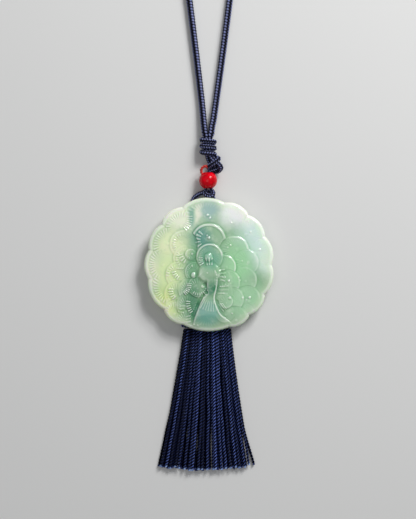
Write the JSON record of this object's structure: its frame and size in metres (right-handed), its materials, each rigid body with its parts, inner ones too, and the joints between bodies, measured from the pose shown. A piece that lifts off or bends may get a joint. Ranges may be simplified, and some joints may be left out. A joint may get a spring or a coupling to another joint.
{
  "type": "jade bag charm",
  "caption": "Carved jade pendant with a peacock before its fan, on a braided hanging loop with a bead, and with a cord tassel below.",
  "frame": {"origin": "middle of the pendant's flat back, on the surface that the charm lies on", "axes": "+Z out of the carved face, +Y towards the hanging loop, +X to the right seen from the front"},
  "size_m": [0.0434, 0.1934, 0.0087],
  "materials": {
    "jade": "polished translucent stone, pale green with yellow-green and whitish clouds",
    "navy_cord": "braided navy cord with a slight sheen",
    "tassel_cord": "twisted navy cords",
    "red_glaze": "polished red",
    "red_thread": "twisted red thread"
  },
  "bodies": {
    "root": {"jade_pendant": "jade", "hanging_loop": "navy_cord", "wrapped_knot": "navy_cord", "overhand_knot": "navy_cord", "pendant_loop": "navy_cord", "tassel_tie": "navy_cord", "tassel_skirt": "tassel_cord", "red_bead": "red_glaze", "red_thread": "red_thread"}
  },
  "joints": []
}
